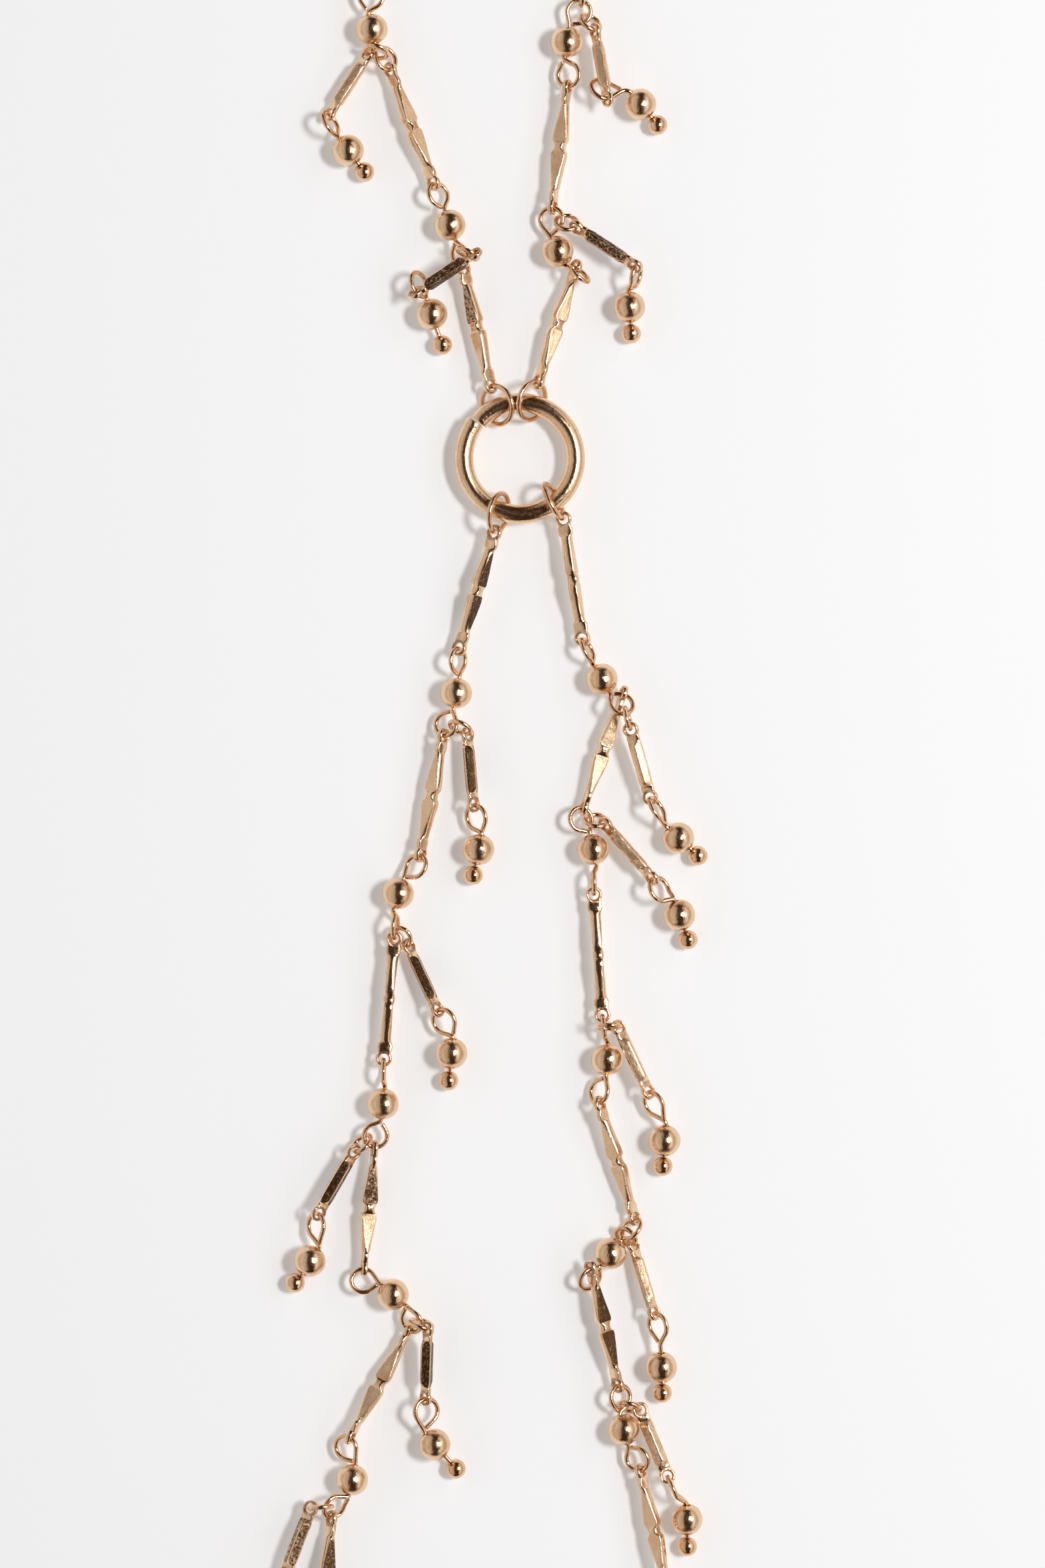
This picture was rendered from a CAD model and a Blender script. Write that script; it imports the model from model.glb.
"""Lariat necklace lying flat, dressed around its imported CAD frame. Lengths are in millimetres until a
mesh is made, and angles are in degrees."""
import itertools
import math
import random

import bpy
import numpy as np
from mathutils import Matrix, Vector, noise


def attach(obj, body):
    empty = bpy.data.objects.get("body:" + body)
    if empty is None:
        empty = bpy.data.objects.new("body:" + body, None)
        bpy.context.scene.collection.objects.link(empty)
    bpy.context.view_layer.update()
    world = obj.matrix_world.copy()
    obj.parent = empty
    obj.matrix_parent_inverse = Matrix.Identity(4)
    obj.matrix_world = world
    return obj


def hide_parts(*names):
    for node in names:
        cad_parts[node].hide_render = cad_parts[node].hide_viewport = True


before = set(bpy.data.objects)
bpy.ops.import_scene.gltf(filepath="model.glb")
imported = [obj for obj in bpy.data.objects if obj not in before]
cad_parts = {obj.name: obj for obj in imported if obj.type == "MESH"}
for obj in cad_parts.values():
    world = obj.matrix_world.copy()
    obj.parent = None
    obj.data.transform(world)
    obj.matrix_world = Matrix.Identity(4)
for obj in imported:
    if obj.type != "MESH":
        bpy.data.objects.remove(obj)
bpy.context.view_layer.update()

MM = 0.001
D = math.pi / 180

# Sizes of the part's source
BEAD_R = 2.0
BORE_R = 0.475
BALL_R = 1.25
WIRE_R = 0.3
LOOP_R = 1.45
REACH = 4.05  # from a bead's middle to the middle of its loops
DROP_LOOP_R = 1.55
JUMP_R = 1.35
RING_R = 6.91
RING_WIRE_R = 1.175
RING_GAP = 0.28
CUT_ANGLE = 139.5
CONNECTOR_R = 2.43
CONNECTOR_WIRE_R = 0.325
LINK = {"length": 14.9, "eye_w": 2.15, "eye_t": 0.75}
BAR = {"length": 8.75, "eye_w": 2.1, "eye_t": 0.68}
EYE_HOLE = 1.2
PLAY = 0.1
BALL_SPACE = 0.08
DROP_DIP = 8
BEND_X = 1.1 * BEAD_R  # from a bead's middle to where its wire turns to the loop
LEG_UNITS = 6
ARC_BEADS = 10
LEFT_HEADING = 110
RIGHT_HEADING = 73
BACK_ROLL = 84

# From the middle of a loop or ring to that of the eye that hangs in it
HOOK = LOOP_R + PLAY
DROP_HOOK = DROP_LOOP_R + PLAY
JUMP_HOOK = JUMP_R + PLAY
CONNECTOR_HOOK = CONNECTOR_R + PLAY

# From loop to loop over a link, over a bead, and over both
LINK_STEP = LINK["length"] + 2 * HOOK
PIN_STEP = 2 * REACH
LEG_STEP = LINK_STEP + PIN_STEP

# Links and beads of a strand: heading and roll of the link, direction to the first loop, headings,
# rolls and rises of the two halves of the pin, direction to the next link
NECK_LEFT = [
    (103, 42, 104, 108, 111, -53, 40, 0, 0, 111),
    (111, -50, 112, 115, 91, 38, -6, 0, 0, 104),
]
NECK_RIGHT = [
    (72, -56, 276, 133, 101, 70, -17, 15, 0, 84),
    (83, 69, 84, 93, 68, -26, 6, 0, 0, 72),
]
TAIL_LEFT = [
    (253, 34, 261, 267, 252, -53, 29, 0, 0, 257),
    (259, -56, 254, 237, 265, 39, 100, 0, 3, 265),
    (265, 0, 269, 269, 257, 90, -10, 0, 0, 265),
    (265, 80, 266, 335, 305, -8, 39, 0, 0, 247),
    (241, -72, 244, 281, 237, 29, -40, 0, 0, 262),
]
TAIL_RIGHT = [
    (279, 18, 293, 296, 308, -71, -31, 0, 15, 82),
    (251, 76, 253, 292, 271, -23, 88, 0, 0, 271),
    (274, -1, 276, 276, 256, 89, 47, 0, 0, 278),
    (287, -53, 270, 230, 231, 59, -41, 0, 0, 93),
    (283, 55, 283, 276, 294, -36, 27, 0, 0, 285),
]

# Connectors: turn on the large ring, how far beyond its middle line, heading, tilt, height
CONNECTORS = [
    (113, 0.26, 109, -43, -0.02),
    (78, 0.36, 71, 51, 0.24),
    (249, 0.32, 258, -63, 0.52),
    (308.5, -0.1, 298, -76, 0.72),
]

# Drops: which loop of the pin holds it and the turn there, heading, tilt and shift of the jump
# ring, direction to the bar, heading and roll of the bar, and then as in the table below
NECK_LEFT_DROPS = [
    (0, 378, 156, 101, -0.15, 127, 213, 60, 51, -55, 293, 289, 4, 0.7),
    (0, 151, 166, -64, 0.05, 48, 237, 51, 249, -66, 303, 308, 4, 0),
]
NECK_RIGHT_DROPS = [
    (1, 345, 353, -45, 0.55, -26, 326, 57, 303, -72, 258, 274, 4, 0),
    (1, 317, 321, -53, 0.5, -37, 280, 58, 102, -40, 339, 311, 5.05, 0),
]
TAIL_LEFT_DROPS = [
    (1, -10, 336, 64, 0.55, -39, 275, -48, 285, 42, 274, 258, 4, 0),
    (1, 220, 324, 29, 0.6, -12, 295, -48, 303, 33, 283, 264, 4.1, 0.2),
    (1, 204, 220, 64, 0.5, 13, 240, -35, 259, 51, 260, 236, 4.5, 0.1),
    (1, 355, 345, -77, 0, -52, 268, 55, 272, -27, 284, 310, 4.35, 0.8),
    (1, 168, 185, -82, 0.45, 23, 249, 27, 245, -59, 258, 250, 4.1, 0.1),
]
TAIL_RIGHT_DROPS = [
    (1, 296, 284, -81, 0.6, 6, 286, 19, 295, -69, 306, 318, 4.55, 0),
    (0, -4, 355, -59, 0.55, -33, 311, 50, 301, -46, 308, 289, 4.1, 0),
    (0, 10, 362, 78, 0.6, -34, 295, -39, 297, 48, 287, 266, 4.8, 0),
    (0, 199, 320, 49, 0.55, -16, 287, -49, 294, 48, 275, 272, 5.3, 0),
    (0, 307, 346, -115, 0.35, 4, 292.5, -9, 281, -92, 294, 271, 4.35, 0.2),
]

# The end of each tail: heading and roll of its last link, direction to the loop, roll and heading
# of the pin, direction to the ball, reach from loop to bead, bare wire between bead and ball
TAIL_LEFT_LAST = (265, 60, 265, -30, 262, 255, 4.05, 0)
TAIL_RIGHT_LAST = (283, -60, 283, 30, 290, 280, 4.05, 0)


# Directions
def direction(h, p=0.0):
    flat = math.cos(p * D)
    return np.array([flat * math.cos(h * D), flat * math.sin(h * D), math.sin(p * D)])


def unit_vector(v):
    return v / np.linalg.norm(v)


def heading(v):
    return math.degrees(math.atan2(v[1], v[0]))


def rise(v):
    return math.degrees(math.asin(v[2] / np.linalg.norm(v)))


def axes(h, p, roll):
    """Columns X, Y, Z of a piece with that heading, rise and roll."""
    x, side = direction(h, p), direction(h + 90)
    up = np.cross(x, side)
    c, s = math.cos(roll * D), math.sin(roll * D)
    return np.column_stack([x, c * side + s * up, c * up - s * side])


def in_plane(h, p, roll, turn, r):
    """A step of length r in the plane of a loop, turned from the loop's own X axis."""
    a = axes(h, p, roll)
    return r * (math.cos(turn * D) * a[:, 0] + math.sin(turn * D) * a[:, 1])


# Route of the chain
def rise_to_bead(eye, to_loop, bead_drop, length):
    """Rise of a link or bar from its first eye, so that the bead after it lies on the surface."""
    return math.degrees(math.asin((BEAD_R + bead_drop - to_loop[2] - eye[2]) / length))


def chain_unit(row, eye):
    """A link and the bead after it."""
    h, roll, to_first, h1, h2, roll1, roll2, up1, up2, to_next = row
    to_loop = in_plane(h1, -up1, roll1, to_first - h1, HOOK)
    link_rise = rise_to_bead(eye, to_loop, REACH * math.sin(up1 * D), LINK["length"])
    first = eye + LINK["length"] * direction(h, link_rise) + to_loop
    bead = first + REACH * direction(h1, -up1)
    second = bead + REACH * direction(h2, up2)
    return {
        "link": (eye, h, link_rise, roll),
        "loops": ((first, (h1, -up1, roll1)), (second, (h2, up2, roll2))),
        "bead": bead,
        "next": second + in_plane(h2, up2, roll2, to_next - h2, HOOK),
    }


def chain(rows, eye):
    """The units of a strand, each from the eye where the one before it ends."""
    units = []
    for row in rows:
        units.append(chain_unit(row, eye))
        eye = units[-1]["next"]
    return units


def drop_end(end, eye, bar_h, length):
    """Pin, bead and ball below a bar or a last link."""
    to_far, roll, h, to_ball, reach, bare = end
    to_loop = in_plane(h, -DROP_DIP, roll, to_far - h, DROP_HOOK)
    bar_rise = rise_to_bead(eye, to_loop, reach * math.sin(DROP_DIP * D), length)
    loop = eye + length * direction(bar_h, bar_rise) + to_loop
    bead = loop + reach * direction(h, -DROP_DIP)
    ball_reach = BEAD_R + bare + BALL_SPACE + BALL_R
    ball_dip = math.degrees(math.asin((BEAD_R - BALL_R) / ball_reach))
    return {
        "rise": bar_rise,
        "loop": loop,
        "plane": (h, -DROP_DIP, roll),
        "bead": bead,
        "ball": bead + ball_reach * direction(to_ball, -ball_dip),
    }


def drop(row, unit):
    """Jump ring, bar and end of a drop on a loop of the unit's pin."""
    at, held_turn, ring_h, tilt, shift, to_eye, bar_h, bar_roll = row[:8]
    loop, plane = unit["loops"][at]
    middle = loop + in_plane(*plane, held_turn - plane[0], LOOP_R) + shift * direction(ring_h)
    eye = middle + in_plane(ring_h, 0, tilt, to_eye, JUMP_HOOK)
    end = drop_end(row[8:], eye, bar_h, BAR["length"])
    return {
        "jump": (middle, ring_h, tilt, to_eye),
        "bar": (eye, bar_h, end["rise"], bar_roll),
        "end": end,
    }


def last_drop(row, eye):
    """The last link of a tail with the end that hangs in it."""
    end = drop_end(row[2:], eye, row[0], LINK["length"])
    return {"link": (eye, row[0], end["rise"], row[1]), "end": end}


def connector(turn, beyond, h, tilt, height):
    """A connector and the eye that hangs in it."""
    middle = (RING_R + beyond) * direction(turn) + np.array([0, 0, BEAD_R + height])
    return {"middle": middle, "heading": h, "tilt": tilt, "eye": middle + CONNECTOR_HOOK * direction(h)}


def strand(rows, drop_rows, last, eye):
    """A strand from the eye in its connector: its units, its drops and the end of a tail."""
    units = chain(rows, eye)
    drops = [drop(row, unit) for row, unit in zip(drop_rows, units)]
    return {"units": units, "drops": drops, "last": last_drop(last, units[-1]["next"]) if last else None}


linked = [connector(*row) for row in CONNECTORS]
STRANDS = {
    "neck_left": strand(NECK_LEFT, NECK_LEFT_DROPS, None, linked[0]["eye"]),
    "neck_right": strand(NECK_RIGHT, NECK_RIGHT_DROPS, None, linked[1]["eye"]),
    "tail_left": strand(TAIL_LEFT, TAIL_LEFT_DROPS, TAIL_LEFT_LAST, linked[2]["eye"]),
    "tail_right": strand(TAIL_RIGHT, TAIL_RIGHT_DROPS, TAIL_RIGHT_LAST, linked[3]["eye"]),
}

# The hidden back: two straight legs and a circle whose radius just closes the loop
HALVINGS = 50
left_foot = STRANDS["neck_left"]["units"][-1]["loops"][1][0]
right_foot = STRANDS["neck_right"]["units"][-1]["loops"][1][0]
left_top = left_foot + LEG_UNITS * LEG_STEP * direction(LEFT_HEADING)
right_top = right_foot + LEG_UNITS * LEG_STEP * direction(RIGHT_HEADING)
chord = np.linalg.norm(right_top - left_top)


def turned(r):
    """Degrees that the circle's links and pins and the chord between the legs turn at radius r."""
    half_turn = (ARC_BEADS + 1) * math.asin(LINK_STEP / 2 / r)
    half_turn += ARC_BEADS * math.asin(PIN_STEP / 2 / r)
    half_turn += math.asin(chord / 2 / r)
    return 2 * half_turn / D


def closing_radius():
    """Radius at which the circle turns once round."""
    low, high = chord / 2 + 0.01, 10 * chord
    for _ in range(HALVINGS):
        middle = (low + high) / 2
        low, high = (middle, high) if turned(middle) > 360 else (low, middle)
    return middle


def leg(foot, h):
    """Ends of the links and pins of a straight leg, from its foot up to below its top."""
    steps = [k * LEG_STEP + part for k in range(LEG_UNITS) for part in (0, LINK_STEP)]
    return [foot + step * direction(h) for step in steps]


def circle_ends():
    """Ends of the links and pins round the circle, from the left leg's top to the right leg's."""
    r = closing_radius()
    across = (right_top - left_top) / chord
    outward = np.array([-across[1], across[0], 0])
    middle = (left_top + right_top) / 2 + math.sqrt(r**2 - chord**2 / 4) * outward
    turn = heading(left_top - middle)
    ends = []
    for k in range(2 * ARC_BEADS + 2):
        ends.append(middle + r * direction(turn))
        turn -= 2 * math.asin((LINK_STEP if k % 2 == 0 else PIN_STEP) / 2 / r) / D
    return ends


BACK = leg(left_foot, LEFT_HEADING) + circle_ends() + leg(right_foot, RIGHT_HEADING)[::-1]

# Middle of all beads, balls and bends: the origin of the part
reach = list(BACK)
for s in STRANDS.values():
    reach += [u["bead"] for u in s["units"]] + [d["end"]["ball"] for d in s["drops"]]
    reach += [s["last"]["end"]["ball"]] if s["last"] else []
MIDDLE = np.append((np.min(reach, 0)[:2] + np.max(reach, 0)[:2]) / 2, 0)


# Chunks, the parts of a piece
CASTING = {"coarse": 0.8, "fine": 2.6, "share": 0.45}  # waves to a millimetre, share of the fine
DENTING = {"coarse": 0.75, "fine": 1.9, "share": 0.3}
CAST_LEVEL = 0.35  # level of a casting's waves that stays where it is
DENT_LEVEL = 0.6  # level below which a bead is dented
WEAR_STEP = 20  # how sharply the wear changes in the middle of a link


def chunk(points, faces, flat=0.0):
    """Points and faces, with values for each point: how flat its face is, from 0 to 1, its place in
    the material's pattern, its place on the plain shape, and how dark and pitted it is."""
    points = np.asarray(points, float)
    return {
        "points": points,
        "faces": faces,
        "flat": np.zeros(len(points)) + flat,
        "local": points,
        "rest": points,
        "wear": np.zeros(len(points)),
    }


def placed(part, at, h=0.0, p=0.0, roll=0.0):
    return dict(part, points=part["points"] @ axes(h, p, roll).T + at)


def pattern_shift(seed):
    rng = random.Random(seed)
    return np.array([rng.uniform(0, 100) for _ in range(3)])


def shifted(part, seed):
    """The part with its own place in the material's pattern."""
    return dict(part, local=part["local"] + pattern_shift(seed))


def waves(part, seed, coarse, fine, share):
    """Smooth noise at each point, of coarse waves and a share of fine ones."""
    shift = Vector(pattern_shift(seed))
    depths = []
    for p in map(Vector, part["points"]):
        depths.append(noise.noise(p * coarse + shift) + share * noise.noise(p * fine + shift))
    return np.array(depths)


def cast(part, seed, amount):
    """The part with the slow waves and small dents of a casting, no two alike."""
    depth = waves(part, seed, **CASTING) - CAST_LEVEL
    moved = part["points"] + part["normals"] * (amount * depth)[:, None]
    return shifted(dict(part, points=moved), seed)


def dented(part, seed, amount):
    """A bead with shallow dents, which break its mirror image of the room a little."""
    reached = np.linalg.norm(part["points"], axis=1)
    away = part["points"] / np.maximum(reached, 0.01)[:, None]
    depth = np.minimum(waves(part, seed, **DENTING) - DENT_LEVEL, 0)
    in_bore = reached < 0.9 * part["size"]
    depth = np.where(in_bore, 0, depth)
    return dict(part, points=part["points"] + away * (amount * depth)[:, None])


def worn(part, first, second, length):
    """The part with that much wear on the first and the second half of its length."""
    past_middle = np.clip((part["rest"][:, 0] / length - 0.5) * WEAR_STEP + 0.5, 0, 1)
    return dict(part, wear=first + (second - first) * past_middle)


# Paths
def rounded(path, passes=3):
    """A polyline with its corners cut, ends kept."""
    path = np.asarray(path, float)
    for _ in range(passes):
        a, b = path[:-1], path[1:]
        cut = np.stack([0.75 * a + 0.25 * b, 0.25 * a + 0.75 * b], 1).reshape(-1, 3)
        path = np.concatenate([path[:1], cut, path[-1:]])
    return path


def resampled(path, step):
    lengths = np.append(0, np.cumsum(np.linalg.norm(np.diff(path, axis=0), axis=1)))
    at = np.linspace(0, lengths[-1], max(3, int(lengths[-1] / step) + 1))
    return np.column_stack([np.interp(at, lengths, path[:, k]) for k in range(3)])


def arc(r, start, end, step=4.0):
    """Points of a circle about Z, in degrees."""
    turns = np.linspace(start, end, max(3, int(abs(end - start) / step))) * D
    return np.column_stack([r * np.cos(turns), r * np.sin(turns), 0 * turns])


# Wires, rings and beads
WIRE_CUT = 0.07  # length of the broken edge at a wire's cut end
WIRE_CUT_DEPTH = 0.6 * WIRE_CUT
BEND_SHARE = 0.12  # share of a cut ring over which its ends bend out of line
BEAD_RIM = ((0.9, 0.0), (0.12, 0.0), (0.03, 0.012))  # depth in the bore, and how much wider it is
RIM_ROOM = 0.05  # from the bore's edge to where the round of a bead starts
BEAD_FLAT = 0.025  # how much flatter a bead is at its hole
BEAD_FLAT_R = 0.45  # share of its radius over which it is flatter
SHY = 0.008  # how far a bead or ball stays inside its solid
POLE = 0.02  # radians that a ball's poles leave open for its end faces


def grid_faces(rows, columns):
    """Quads of a tube whose rows are rings of points."""
    faces = []
    for i in range(rows - 1):
        a, b = i * columns, (i + 1) * columns
        faces += [(a + j, a + (j + 1) % columns, b + (j + 1) % columns, b + j) for j in range(columns)]
    return faces


def end_caps(count, sides):
    """The two end faces of a tube of that many points."""
    return [tuple(range(sides))[::-1], tuple(range(count - sides, count))]


def revolve(profile, sides):
    """A shape turned about its X axis from points of (x, radius)."""
    turns = np.arange(sides) * 2 * math.pi / sides
    ring = np.column_stack([np.cos(turns), np.sin(turns)])
    points = np.concatenate([np.column_stack([np.full(sides, x), r * ring]) for x, r in profile])
    return points, grid_faces(len(profile), sides)


def wire(path, radius, sides=12):
    """Round wire along a path, with slightly broken edges at its two cut ends."""
    near = path[0] + WIRE_CUT * unit_vector(path[1] - path[0])
    far = path[-1] - WIRE_CUT * unit_vector(path[-1] - path[-2])
    path = np.concatenate([path[:1], [near], path[1:-1], [far], path[-1:]])
    radii = np.full(len(path), float(radius))
    radii[[0, -1]] -= WIRE_CUT_DEPTH
    tangents = np.gradient(path, axis=0)
    tangents /= np.linalg.norm(tangents, axis=1)[:, None]
    steep = abs(tangents[0][2]) >= 0.9
    side = np.cross(tangents[0], [1.0, 0.0, 0.0] if steep else [0.0, 0.0, 1.0])
    turns = (np.arange(sides) * 2 * math.pi / sides)[:, None]
    points = []
    for p, t, r in zip(path, tangents, radii):
        side = unit_vector(side - t * (side @ t))
        points.append(p + r * (np.cos(turns) * side + np.sin(turns) * np.cross(t, side)))
    points = np.concatenate(points)
    return chunk(points, grid_faces(len(path), sides) + end_caps(len(points), sides))


def open_ring(r, wire_r, cut_at, gap, shift, lift, sides=14):
    """A round ring cut once, its two ends a little out of line with each other."""
    half = gap / 2 / r / D
    path = arc(r, cut_at + half, cut_at + 360 - half)
    near_start = np.clip(1 - np.arange(len(path)) / (BEND_SHARE * len(path)), 0, 1) ** 2
    bend = near_start - near_start[::-1]
    outward = path / np.linalg.norm(path, axis=1)[:, None]
    path = path + outward * (shift * bend)[:, None]
    path[:, 2] += lift * bend
    return wire(path, wire_r, sides)


def bead_shape(r, sides, rows):
    """A drilled bead, a little flat around its hole, with a raised rim there."""
    start = math.asin((BORE_R + RIM_ROOM) / r)
    turns = np.linspace(start, math.pi - start, rows)
    body = [(math.cos(t) * (r - SHY), math.sin(t) * (r - SHY)) for t in turns]
    body = [(x * (1 - BEAD_FLAT * math.exp(-((y / r / BEAD_FLAT_R) ** 2))), y) for x, y in body]
    end = body[0][0]
    rim = [(end - depth, BORE_R + wider) for depth, wider in BEAD_RIM]
    points, faces = revolve(rim + body + [(-x, y) for x, y in rim[::-1]], sides)
    return dict(chunk(points, faces), size=r)


def ball_shape(sides, rows):
    turns = np.linspace(POLE, math.pi - POLE, rows)
    r = BALL_R - SHY
    points, faces = revolve([(math.cos(t) * r, math.sin(t) * r) for t in turns], sides)
    return dict(chunk(points, faces + end_caps(len(points), sides)), size=BALL_R)


# Cast bars: a cage of quads with an eye at each end, smoothed, lying along X
EYE_SEGMENTS = 16
MOUTH_SEGMENTS = 2  # segments of an eye, each side of the axis, that open into the body
SECTION_POINTS = 8  # points of the section of an eye's ring
OUTER_SIDES = (3, 4, 5)  # sides of that section which the mouth leaves out
BODY_POINTS = 14  # points round the body
EYE_FULLER = 1.02  # makes up for what the smoothing takes off the eye
HOLE_TIGHTER = 0.985  # and for what it adds to its hole
INNER_CORNER = 0.13  # width of the cut corner at an eye's hole
OUTER_CORNER = 0.15
EYE_FLAT = 0.6  # how flat an eye's two faces are
CROWN = 1.01  # rise of a body's faces to their middle line
CREASE = 0.85
WAIST = 0.7  # half the length of the waist in the middle of a link

# Places along half a bar: distance, half width in the plane of the eyes and half thickness across
# it, how flat, share of the thickness that its sides take, and the corner beside its top: shares
# out and up
LINK_STATIONS = [(*row, 0.68, 0.76) for row in (
    (1.30, 0.95, 0.38, 0.0, 0.70),
    (1.75, 0.92, 0.38, 0.0, 0.66),
    (2.02, 0.82, 0.42, 0.0, 0.50),
    (2.16, 0.70, 0.58, 0.0, 0.26),
    (2.80, 0.68, 0.64, 1.0, 0.32),
    (3.70, 0.65, 0.73, 1.0, 0.56),
    (5.00, 0.60, 0.88, 1.0, 0.75),
    (6.10, 0.565, 1.00, 1.0, 0.86),
    (6.50, 0.56, 0.99, 1.0, 0.89),
    (6.80, 0.56, 0.92, 1.0, 0.91),
    (6.88, 0.60, 0.87, 0.0, 0.82),
    (7.00, 0.66, 0.80, 0.0, 0.66),
    (7.20, 0.71, 0.73, 0.0, 0.55),
    (7.45, 0.72, 0.71, 0.0, 0.50),
)]
BAR_STATIONS = [
    (1.15, 0.84, 0.32, 0.0, 0.74, 0.68, 0.76),
    (1.34, 0.78, 0.33, 0.0, 0.72, 0.62, 0.80),
    (1.46, 0.77, 0.42, 0.8, 0.50, 0.45, 0.95),
    (1.90, 0.80, 0.77, 1.0, 0.25, 0.25, 1.0),
    (2.04, 0.83, 0.82, 1.0, 0.21, 0.21, 1.0),
    (3.10, 0.83, 0.82, 1.0, 0.21, 0.21, 1.0),
    (4.375, 0.83, 0.82, 1.0, 0.21, 0.21, 1.0),
]

# Points round the body that bound its flat panels, those whose lines along it stay crisp, and
# those where a crisp line across each side starts
LINK_PANELS = (0, 4, 5, 6, 7, 11, 12, 13)
LINK_EDGES = (0, 4, 7, 11)
BAR_PANELS = BAR_EDGES = (0, 1, 3, 4, 7, 8, 10, 11)
SIDE_POINTS = (4, 5, 6, 11, 12, 13)


def mirrored(stations, length):
    """Stations of a whole bar from those of its first half."""
    first_half = [row for row in stations if row[0] < length / 2 - 1e-6]
    return stations + [(length - row[0], *row[1:]) for row in first_half[::-1]]


def eye_section(size):
    """Section of an eye's ring as points of (radius, height), its corners cut."""
    outer = size["eye_w"] / 2 * EYE_FULLER
    inner = EYE_HOLE / 2 * HOLE_TIGHTER
    top = size["eye_t"] / 2
    side = 0.5 * top
    inner_flat, outer_flat = inner + INNER_CORNER, outer - OUTER_CORNER
    upper = [(inner, side), (inner_flat, top), (outer_flat, top), (outer, side)]
    lower = [(outer, -side), (outer_flat, -top), (inner_flat, -top)]
    return [(inner, -side)] + upper + lower


def add_eye(cage, section, at_x, sign):
    """Adds an eye that opens towards sign along X, and gives the points round its mouth."""
    base = len(cage["points"])
    top = max(z for _, z in section)
    for k in range(EYE_SEGMENTS):
        turn = (k - MOUTH_SEGMENTS) * 2 * math.pi / EYE_SEGMENTS
        for r, z in section:
            cage["points"].append((at_x + sign * r * math.cos(turn), sign * r * math.sin(turn), z))
            cage["flat"].append(EYE_FLAT if abs(z) == top else 0.0)

    def at(k, j):
        return base + (k % EYE_SEGMENTS) * SECTION_POINTS + j % SECTION_POINTS

    last = 2 * MOUTH_SEGMENTS
    for k in range(EYE_SEGMENTS):
        for j in range(SECTION_POINTS):
            if k >= last or j not in OUTER_SIDES:
                cage["quads"].append((at(k, j), at(k, j + 1), at(k + 1, j + 1), at(k + 1, j)))
    # top edge, one side, bottom edge, other side
    top_edge = [at(k, 3) for k in range(last + 1)]
    bottom_edge = [at(k, 6) for k in range(last, -1, -1)]
    return top_edge + [at(last, 4), at(last, 5)] + bottom_edge + [at(0, 5), at(0, 4)]


def body_section(half_w, half_t, side, out, up):
    """Points of (y, z) round the body at a station."""
    edge = side * half_t
    shoulder = half_t * (side + up * (1 - side))
    right = [(0, CROWN * half_t), (out * half_w, shoulder), (half_w, edge)]
    top = [(-half_w, edge), (-out * half_w, shoulder)] + right
    bottom = [(y, -z) for y, z in top[::-1]]
    near_side = [(half_w, edge / 3), (half_w, -edge / 3)]
    return top + near_side + bottom + [(-y, -z) for y, z in near_side]


def add_body(cage, stations, panels):
    """Adds the points of the body, and gives them as one ring for each station."""
    rings = []
    for x, half_w, half_t, flat, *corner in stations:
        base = len(cage["points"])
        rings.append([base + j for j in range(BODY_POINTS)])
        cage["points"] += [(x, y, z) for y, z in body_section(half_w, half_t, *corner)]
        cage["flat"] += [flat if j in panels else 0.0 for j in range(BODY_POINTS)]
    return rings


def crisp_lines(rings, stations, edges, length):
    """Edges of the cage that stay crisp: along the panels, and across where they end at the waist."""
    flat = [row[3] for row in stations]
    lines = []
    for k in range(len(rings) - 1):
        if flat[k] > 0 and flat[k + 1] > 0:
            lines += [(rings[k][j], rings[k + 1][j]) for j in edges]
    for k in range(1, len(rings) - 1):
        ends_panel = flat[k] > 0 and 0 in (flat[k - 1], flat[k + 1])
        if ends_panel and abs(stations[k][0] - length / 2) < WAIST:
            lines += [(rings[k][j], rings[k][(j + 1) % BODY_POINTS]) for j in SIDE_POINTS]
    return lines


def smoothed(cage, crisp, level):
    """The cage after subdivision, as a chunk with normals."""
    mesh = bpy.data.meshes.new("cage")
    mesh.from_pydata(cage["points"], [], cage["quads"])
    mesh.attributes.new("flat", "FLOAT", "POINT").data.foreach_set("value", cage["flat"])
    wanted = {frozenset(line) for line in crisp}
    creases = [CREASE if frozenset(edge.vertices) in wanted else 0.0 for edge in mesh.edges]
    mesh.attributes.new("crease_edge", "FLOAT", "EDGE").data.foreach_set("value", creases)
    shape = bpy.data.objects.new("cage", mesh)
    bpy.context.scene.collection.objects.link(shape)
    smooth = shape.modifiers.new("smooth", "SUBSURF")
    smooth.levels = smooth.render_levels = level
    done = shape.evaluated_get(bpy.context.evaluated_depsgraph_get()).to_mesh()
    points = np.array([v.co[:] for v in done.vertices])
    normals = np.array([v.normal[:] for v in done.vertices])
    faces = [tuple(f.vertices) for f in done.polygons]
    flat = np.array([a.value for a in done.attributes["flat"].data])
    bpy.data.objects.remove(shape)
    bpy.data.meshes.remove(mesh)
    return dict(chunk(points, faces, flat), normals=normals)


def eye_bar_shape(size, stations, panels, edges, level):
    """A cast bar with an eye at each end."""
    cage = {"points": [], "quads": [], "flat": []}
    section = eye_section(size)
    near = add_eye(cage, section, 0.0, 1)
    far = add_eye(cage, section, size["length"], -1)
    rings = add_body(cage, stations, panels)
    # the far mouth runs the other way about, so it is turned to match
    far = far[4::-1] + [far[13], far[12]] + far[11:6:-1] + [far[6], far[5]]
    loops = [near] + rings + [far]
    for a, b in zip(loops, loops[1:]):
        cage["quads"] += [
            (a[j], a[(j + 1) % BODY_POINTS], b[(j + 1) % BODY_POINTS], b[j]) for j in range(BODY_POINTS)
        ]
    return smoothed(cage, crisp_lines(rings, stations, edges, size["length"]), level)


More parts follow.
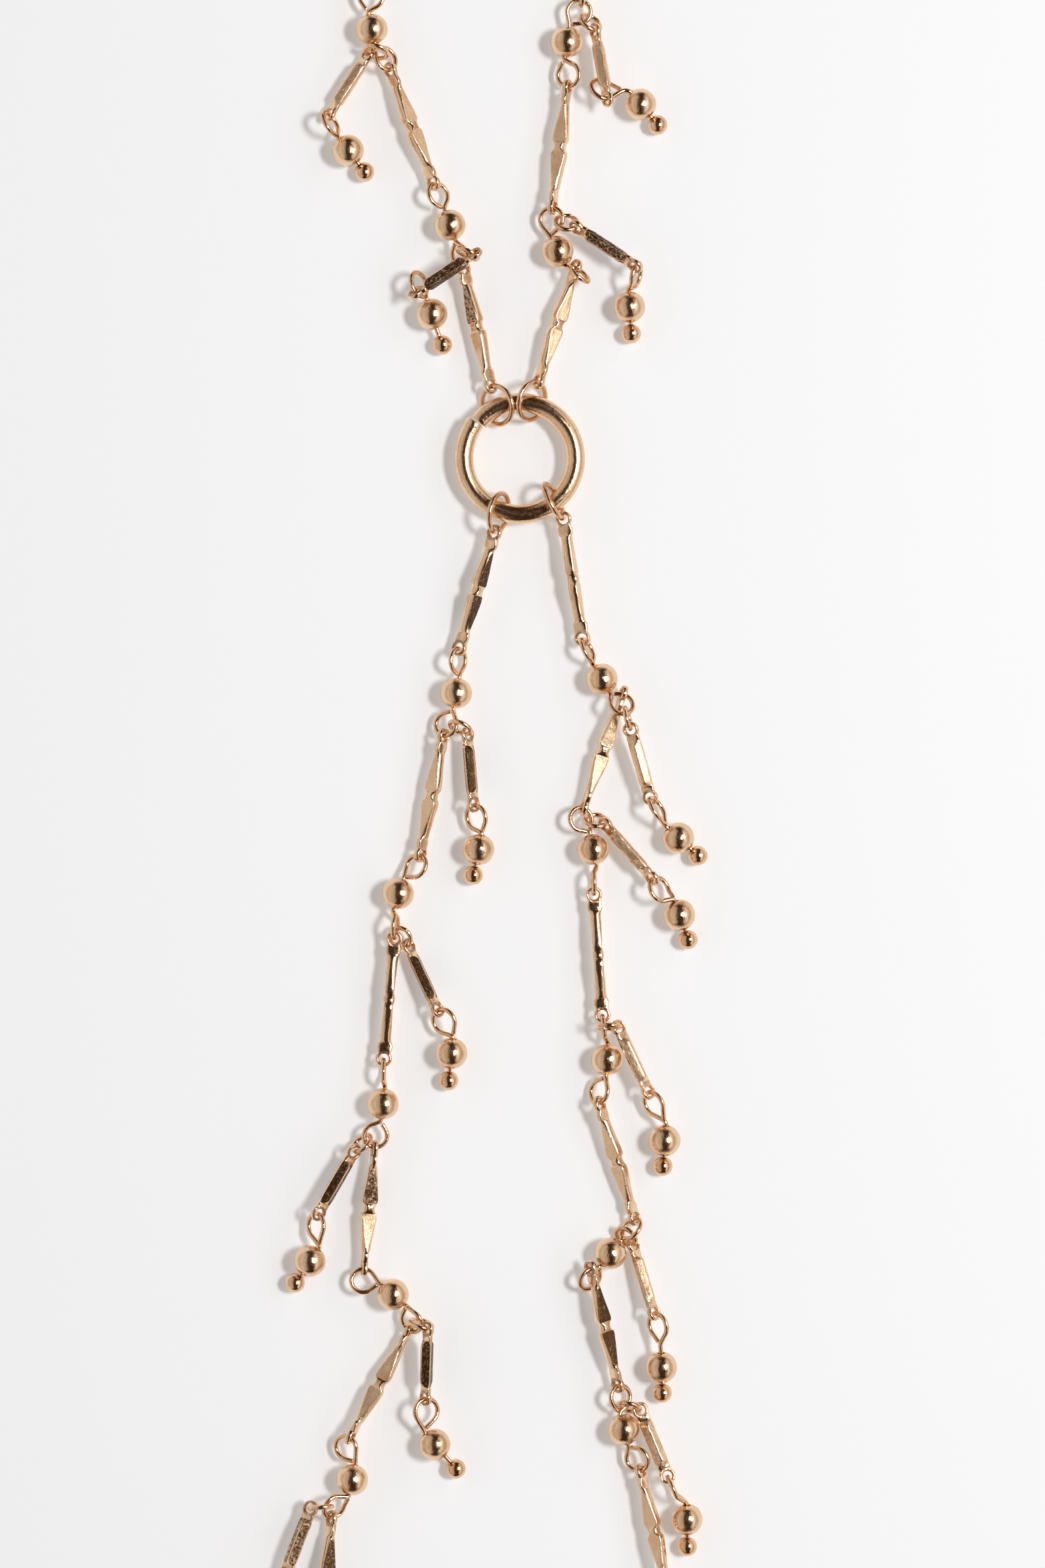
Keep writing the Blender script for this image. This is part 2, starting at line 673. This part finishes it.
# Pins with teardrop loops
LOOP_TIP = 2.35  # from the loop's middle to where its two sides would meet
LOOP_POINTS = 61
LOOP_ROOM = 1.1 * WIRE_R  # from the middle of the wire's cut end to that of its own stem
LEAST_ROOM = 0.3
BENT_STEP = 0.14  # between points along a bent wire
STRAIGHT_STEP = 0.3


def side_path(bead, bend, loop, plane, r, sense):
    """Wire from a bead's middle: out at the bend, round a teardrop loop and back until it nearly
    meets itself."""
    a = axes(*plane)
    u = a[:, 0] if (bead - loop) @ a[:, 0] > 0 else -a[:, 0]
    v = np.cross(a[:, 2], u)
    to_bend = bend - loop
    bend_u, bend_v = to_bend @ u, to_bend @ v
    far = math.hypot(bend_u, bend_v)
    tip = min(far, LOOP_TIP)
    base = math.degrees(math.atan2(bend_v, bend_u))
    half = math.acos(r / tip) / D
    turns = (base + sense * np.linspace(half, 360 - half, LOOP_POINTS))[:, None] * D
    circle = loop + r * (np.cos(turns) * u + np.sin(turns) * v)
    crossing = loop + to_bend * (tip / far)
    closing = crossing - circle[-1]
    spare = max(LOOP_ROOM / math.sin(2 * half * D), LEAST_ROOM)
    left = max(0.1, np.linalg.norm(closing) - spare)
    end = circle[-1] + left * unit_vector(closing)
    lead = [bead, bead + (bend - bead) * 0.72, bend]
    if far > LOOP_TIP:
        lead.append(crossing)
    lead += [circle[0] + (crossing - circle[0]) * 0.35, circle[0]]
    return resampled(np.concatenate([rounded(lead), circle[1:], [end]]), BENT_STEP)


def eye_pin(loops, bead, senses, sides=12):
    """A pin through a chain bead, with a loop at each side."""
    (first, plane1), (second, plane2) = loops
    v = unit_vector(second - first)
    one = side_path(bead, bead - BEND_X * v, first, plane1, LOOP_R, senses[0])
    two = side_path(bead, bead + BEND_X * v, second, plane2, LOOP_R, senses[1])
    return wire(np.concatenate([one[::-1], two[1:]]), WIRE_R, sides)


def head_pin(end, sense):
    """A drop's pin, from the ball through the bead to the loop above it."""
    bead = end["bead"]
    v = unit_vector(end["ball"] - bead)
    top = side_path(bead, bead - BEND_X * v, end["loop"], end["plane"], DROP_LOOP_R, sense)
    down = resampled(np.array([end["ball"], bead + 0.1 * v]), STRAIGHT_STEP)
    return wire(np.concatenate([down, top[1:]]), WIRE_R)


# Materials
class NodeTree:
    """A new material and short calls for the nodes in it."""

    def __init__(self, name):
        self.material = bpy.data.materials.new(name)
        self.material.use_nodes = True
        self.tree = self.material.node_tree
        self.tree.nodes.clear()

    def put(self, socket, value):
        """Links another node's output to the socket, or sets the socket's own value."""
        if isinstance(value, bpy.types.NodeSocket):
            self.tree.links.new(value, socket)
        else:
            socket.default_value = value

    def node(self, kind, **inputs):
        n = self.tree.nodes.new("ShaderNode" + kind)
        for key, value in inputs.items():
            self.put(n.inputs[key.replace("_", " ")], value)
        return n

    def attribute(self, name, output):
        n = self.node("Attribute")
        n.attribute_name = name
        return n.outputs[output]

    def noise(self, at, scale, detail, roughness=0.5):
        n = self.node("TexNoise", Vector=at, Scale=scale, Detail=detail, Roughness=roughness)
        return n.outputs["Fac"]

    def maths(self, kind, a, b):
        n = self.node("Math")
        n.operation = kind
        self.put(n.inputs[0], a)
        self.put(n.inputs[1], b)
        return n.outputs[0]

    def ranged(self, value, a, b, low=0.0, high=1.0):
        """The value's range from a to b stretched to the range from low to high."""
        n = self.node("MapRange", Value=value, From_Min=a, From_Max=b, To_Min=low, To_Max=high)
        return n.outputs[0]

    def stretched(self, at, by):
        n = self.node("VectorMath", Vector=at)
        n.operation = "MULTIPLY"
        n.inputs[1].default_value = by
        return n.outputs[0]

    def blend(self, factor, a, b):
        """Colour a where the factor is 0 and b where it is 1."""
        n = self.node("Mix")
        n.data_type = "RGBA"
        self.put(n.inputs["Factor"], factor)
        for key, value in (("A", a), ("B", b)):
            self.put(n.inputs[key], (*value, 1) if isinstance(value, tuple) else value)
        return n.outputs["Result"]

    def mix(self, factor, a, b):
        """Number a where the factor is 0 and b where it is 1."""
        n = self.node("Mix", Factor=factor)
        self.put(n.inputs[2], a)
        self.put(n.inputs[3], b)
        return n.outputs[0]


TARNISH = (0.085, 0.042, 0.020)
STROKE_STRETCH = (1.2, 13.0, 13.0)  # brush strokes run along X


def gold(name, colour, dark, rough, relief_mm, brushed=False):
    """Plated metal with a slow drift between two colours and fine pits. Brushed metal has satin
    strokes on its flat faces, and dark, pitted places with bright scratches where it is worn."""
    t = NodeTree(name)
    at = t.attribute("local", "Vector")
    drift = t.noise(at, scale=0.55, detail=3.0)
    grain = t.noise(at, scale=4.2, detail=3.0, roughness=0.6)
    tint = t.blend(t.maths("MULTIPLY", t.ranged(drift, 0.35, 0.70), 0.6), colour, dark)
    roughness = t.ranged(grain, 0.3, 0.7, rough * 0.75, rough * 1.3)
    height = t.maths("MULTIPLY", grain, 0.8)
    if brushed:
        face = t.ranged(t.attribute("flat", "Fac"), 0.35, 0.8)
        strokes = t.noise(t.stretched(at, STROKE_STRETCH), scale=1.4, detail=3.0)
        worn_away = tarnish(t, at, grain, strokes, face)
        tint = t.blend(worn_away, tint, TARNISH)
        satin = t.ranged(strokes, 0.3, 0.7, 0.24, 0.36)
        satin = t.maths("ADD", satin, t.maths("MULTIPLY", worn_away, 0.08))
        roughness = t.mix(face, roughness, satin)
        brushing = t.maths("MULTIPLY", t.maths("MULTIPLY", strokes, face), 0.8)
        height = t.maths("SUBTRACT", t.maths("ADD", height, brushing), worn_away)
    normal = t.node("Bump", Strength=1.0, Distance=relief_mm * MM, Height=height).outputs[0]
    shader = t.node("BsdfPrincipled", Base_Color=tint, Metallic=1.0, Roughness=roughness, Normal=normal)
    t.node("OutputMaterial", Surface=shader.outputs[0])
    return t.material


def tarnish(t, at, grain, strokes, face):
    """Where a worn flat face is dark and pitted, apart from the scratches left bright in it."""
    wear = t.attribute("wear", "Fac")
    specks = t.noise(at, scale=2.6, detail=5.0, roughness=0.75)
    pitted = t.ranged(t.maths("ADD", specks, t.maths("MULTIPLY", wear, 0.42)), 0.66, 0.80)
    dull = t.maths("MULTIPLY", t.maths("MULTIPLY", face, pitted), t.ranged(wear, 0.0, 0.5))
    scratched = t.maths("ADD", strokes, t.maths("MULTIPLY", grain, 0.6))
    bare = t.maths("MULTIPLY", t.ranged(scratched, 0.90, 1.02), 0.55)
    return t.maths("MULTIPLY", dull, t.maths("SUBTRACT", 1.0, bare))


# Colour, the colour that it drifts to, roughness, and depth of the relief
MATERIALS = {
    "polished_gold": gold("polished_gold", (0.88, 0.64, 0.43), (0.78, 0.46, 0.24), 0.18, 0.04),
    "brushed_gold": gold("brushed_gold", (0.89, 0.65, 0.44), (0.77, 0.47, 0.26), 0.17, 0.03, brushed=True),
    "wire_gold": gold("wire_gold", (0.86, 0.58, 0.37), (0.74, 0.42, 0.22), 0.17, 0.03),
}


# Pieces
def dress(node, slot, parts):
    """One piece for a CAD node, from its chunks."""
    starts = np.cumsum([0] + [len(p["points"]) for p in parts])
    points = (np.concatenate([p["points"] for p in parts]) - MIDDLE) * MM
    points[:, 2] = np.maximum(points[:, 2], 0)
    faces = [tuple(k + at for k in f) for p, at in zip(parts, starts) for f in p["faces"]]
    mesh = bpy.data.meshes.new(node + "_look")
    mesh.from_pydata(points.tolist(), [], faces)
    for name in ("flat", "wear"):
        values = np.concatenate([p[name] for p in parts])
        mesh.attributes.new(name, "FLOAT", "POINT").data.foreach_set("value", values)
    local = np.concatenate([p["local"] for p in parts])
    mesh.attributes.new("local", "FLOAT_VECTOR", "POINT").data.foreach_set("vector", local.ravel())
    mesh.materials.append(MATERIALS[slot])
    mesh.shade_smooth()
    mesh.set_sharp_from_angle(angle=SHARP_ANGLE * D)
    piece = bpy.data.objects.new(node + "_look", mesh)
    bpy.context.scene.collection.objects.link(piece)
    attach(piece, "root")
    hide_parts(node)


CAST_WAVES = 0.03  # depth of a casting's waves
DENTS = 0.02  # depth of a bead's dents, as a share of its radius
SHARP_ANGLE = 50
CONNECTOR_CUTS = (200, 250, 60, 120)  # turn of each connector's cut
JUMP_CUT = 95  # turn from the eye in a jump ring to the ring's cut

# Seeds of the patterns, dents and turns
RING_SEED = 1
CONNECTOR_SEED = 10
FIRST_SEED = 101
BACK_SEED = 900
BALL_SEED = 500  # beyond that of the bead above the ball

# How dark and pitted the flat faces are, on the two halves of each link and on each bar
LINK_WEAR = {
    "neck_left": [(0.10, 0.55), (0.0, 0.0)],
    "neck_right": [(0.0, 0.0), (0.0, 0.0)],
    "tail_left": [(0.95, 0.95), (0.0, 0.0), (0.2, 0.2), (0.65, 0.25), (0.0, 0.0), (0.8, 0.8)],
    "tail_right": [(0.0, 0.0), (0.1, 0.1), (0.2, 0.2), (0.0, 0.0), (1.0, 1.0), (0.0, 0.0)],
}
BAR_WEAR = {
    "neck_left": [0.85, 0.0],
    "neck_right": [0.75, 0.2],
    "tail_left": [1.0, 0.9, 1.0, 1.0, 0.6],
    "tail_right": [0.0, 0.3, 0.0, 0.0, 0.35],
}

link_stations = mirrored(LINK_STATIONS, LINK["length"])
bar_stations = mirrored(BAR_STATIONS, BAR["length"])
link_shape = eye_bar_shape(LINK, link_stations, LINK_PANELS, LINK_EDGES, level=2)
plain_link = eye_bar_shape(LINK, link_stations, LINK_PANELS, LINK_EDGES, level=1)
bar_shape = eye_bar_shape(BAR, bar_stations, BAR_PANELS, BAR_EDGES, level=2)
bead_part = bead_shape(BEAD_R, sides=48, rows=30)
back_bead = bead_shape(BEAD_R, sides=36, rows=20)
ball_part = ball_shape(sides=32, rows=22)
seeds = itertools.count(FIRST_SEED)


def ring_and_connectors():
    ring = open_ring(RING_R, RING_WIRE_R, CUT_ANGLE, RING_GAP, shift=0.15, lift=0.06, sides=40)
    dress("ring", "polished_gold", [placed(shifted(ring, RING_SEED), np.array([0, 0, BEAD_R]))])
    for i, c in enumerate(linked):
        part = open_ring(CONNECTOR_R, CONNECTOR_WIRE_R, CONNECTOR_CUTS[i], 0.05, shift=0.05, lift=0.05)
        part = placed(shifted(part, CONNECTOR_SEED + i), c["middle"], c["heading"], 0, c["tilt"])
        dress(f"connector_{i + 1}", "wire_gold", [part])


def bead_placed(part, middle, v, seed):
    """A bead or ball on a wire along v, turned about it by chance."""
    roll = random.Random(seed).uniform(0, 360)
    part = shifted(dented(part, seed, DENTS * part["size"]), seed)
    return placed(part, middle, heading(v), rise(v), roll)


def strand_links(name, links):
    for i, (eye, h, up, roll) in enumerate(links):
        part = worn(cast(link_shape, next(seeds), CAST_WAVES), *LINK_WEAR[name][i], LINK["length"])
        dress(f"{name}_link_{i + 1}", "brushed_gold", [placed(part, eye, h, up, roll)])


def strand_beads(name, units):
    """The strand's beads, and its pins as chunks."""
    pins = []
    for i, unit in enumerate(units):
        seed = next(seeds)
        loops, middle = unit["loops"], unit["bead"]
        bead = bead_placed(bead_part, middle, loops[1][0] - loops[0][0], seed)
        dress(f"{name}_bead_{i + 1}", "polished_gold", [bead])
        rng = random.Random(seed)
        senses = (rng.choice((1, -1)), rng.choice((1, -1)))
        pins.append(shifted(eye_pin(loops, middle, senses), seed))
    return pins


def jump_rings_and_bars(name, drops):
    rings, bars = [], []
    for d, wear in zip(drops, BAR_WEAR[name]):
        seed = next(seeds)
        middle, h, tilt, to_eye = d["jump"]
        ring = open_ring(JUMP_R, WIRE_R, to_eye + JUMP_CUT, 0.06, shift=0.04, lift=0.05, sides=12)
        rings.append(placed(shifted(ring, seed), middle, h, 0, tilt))
        eye, h, up, roll = d["bar"]
        bar = worn(cast(bar_shape, seed, CAST_WAVES), wear, wear, BAR["length"])
        bars.append(placed(bar, eye, h, up, roll))
    return rings, bars


def drop_pins_and_beads(ends):
    """The pins with their balls, and the beads."""
    pins, beads = [], []
    for end in ends:
        seed = next(seeds)
        v = end["ball"] - end["bead"]
        beads.append(bead_placed(bead_part, end["bead"], v, seed))
        pins.append(shifted(head_pin(end, random.Random(seed).choice((1, -1))), seed))
        pins.append(bead_placed(ball_part, end["ball"], v, seed + BALL_SEED))
    return pins, beads


def dress_strand(name, units, drops, last):
    lasts = [last] if last else []
    strand_links(name, [u["link"] for u in units] + [end["link"] for end in lasts])
    pins = strand_beads(name, units)
    rings, bars = jump_rings_and_bars(name, drops)
    drop_pins, drop_beads = drop_pins_and_beads([d["end"] for d in drops + lasts])
    dress(f"{name}_pins", "wire_gold", pins)
    dress(f"{name}_jump_rings", "wire_gold", rings)
    dress(f"{name}_drop_bars", "brushed_gold", bars)
    dress(f"{name}_drop_pins", "wire_gold", drop_pins)
    dress(f"{name}_drop_beads", "polished_gold", drop_beads)


def dress_back():
    """The stretch outside the photo: links from even to odd ends, beads from odd to even."""
    links, beads, pins = [], [], []
    for k in range(0, len(BACK) - 1, 2):
        v = unit_vector(BACK[k + 1] - BACK[k])
        roll = BACK_ROLL if k % 4 == 0 else -BACK_ROLL
        link = cast(plain_link, BACK_SEED + k, CAST_WAVES)
        links.append(placed(link, BACK[k] + HOOK * v, heading(v), 0, roll))
    for k in range(1, len(BACK) - 2, 2):
        v = BACK[k + 1] - BACK[k]
        middle = (BACK[k] + BACK[k + 1]) / 2
        beads.append(bead_placed(back_bead, middle, v, BACK_SEED + k))
        roll = BACK_ROLL - 90 if k % 4 == 1 else 90 - BACK_ROLL
        loops = ((BACK[k], (heading(v), 0, roll)), (BACK[k + 1], (heading(v), 0, -roll)))
        pins.append(shifted(eye_pin(loops, middle, (1, -1), sides=8), BACK_SEED + k))
    dress("back_links", "brushed_gold", links)
    dress("back_beads", "polished_gold", beads)
    dress("back_pins", "wire_gold", pins)


ring_and_connectors()
for name, s in STRANDS.items():
    dress_strand(name, s["units"], s["drops"], s["last"])
dress_back()

# Floor, light and camera, in metres
FLOOR_HALF = 15.0
PHOTO_X, PHOTO_Y = 0.0099, -0.1146  # middle of the photo
PHOTO_HEIGHT = 0.194  # how much of the surface the photo covers
CAMERA_HEIGHT = 0.65
AIM_HEIGHT = 0.002
target = Vector((PHOTO_X, PHOTO_Y, AIM_HEIGHT))

# Lamps: name, place from the target, width, height, radiance, colour
LAMPS = [
    ("key", (0.52, 0.08, 0.85), 0.26, 0.14, 50.5, (1.0, 0.975, 0.95)),
    ("right_panel", (0.86, 0.0, 0.66), 3.0, 0.40, 1.05, (1.0, 0.97, 0.93)),
    ("right_wall", (1.25, 0.0, 0.30), 5.0, 0.6, 0.48, (1.0, 0.955, 0.91)),
    ("left_panel", (-0.78, 0.0, 0.76), 4.0, 0.9, 0.53, (1.0, 0.955, 0.91)),
    ("left_wall", (-1.35, 0.0, 0.33), 7.0, 0.75, 0.48, (1.0, 0.955, 0.91)),
]


def paper():
    """Pale paper that also glows a little, so that shadows on it stay light."""
    material = bpy.data.materials.new("paper")
    material.use_nodes = True
    inputs = material.node_tree.nodes["Principled BSDF"].inputs
    inputs["Base Color"].default_value = (0.845, 0.90, 0.955, 1)
    inputs["Roughness"].default_value = 0.7
    inputs["Specular IOR Level"].default_value = 0.1
    inputs["Emission Color"].default_value = (1.0, 0.94, 0.91, 1)
    inputs["Emission Strength"].default_value = 0.23
    return material


def add_floor(scene):
    corners = [(x * FLOOR_HALF, y * FLOOR_HALF, 0) for x, y in ((-1, -1), (1, -1), (1, 1), (-1, 1))]
    mesh = bpy.data.meshes.new("floor")
    mesh.from_pydata(corners, [], [(0, 1, 2, 3)])
    mesh.materials.append(paper())
    floor = bpy.data.objects.new("floor", mesh)
    scene.collection.objects.link(floor)


def add_lamp(scene, name, at, width, height, radiance, colour):
    """A panel of light that faces the target, its width level."""
    light = bpy.data.lights.new(name, "AREA")
    light.shape = "RECTANGLE"
    light.size = width
    light.size_y = height
    light.energy = radiance * width * height * math.pi
    light.color = colour
    lamp = bpy.data.objects.new(name, light)
    lamp.location = target + Vector(at)
    lamp.rotation_mode = "QUATERNION"
    lamp.rotation_quaternion = Vector(at).to_track_quat("Z", "Y")
    scene.collection.objects.link(lamp)


def add_world(scene):
    world = bpy.data.worlds.new("studio")
    world.use_nodes = True
    world.node_tree.nodes["Background"].inputs["Color"].default_value = (0.036, 0.017, 0.007, 1)
    scene.world = world


def add_camera(scene):
    """A camera straight above the middle of the photo."""
    camera = bpy.data.cameras.new("camera")
    camera.lens = camera.sensor_width * CAMERA_HEIGHT / PHOTO_HEIGHT
    camera.clip_start = 0.01
    camera.clip_end = 20
    eye = bpy.data.objects.new("camera", camera)
    eye.location = target + Vector((0, 0, CAMERA_HEIGHT))
    scene.collection.objects.link(eye)
    scene.camera = eye


scene = bpy.context.scene
scene.view_settings.view_transform = "Standard"
add_floor(scene)
for lamp_row in LAMPS:
    add_lamp(scene, *lamp_row)
add_world(scene)
add_camera(scene)
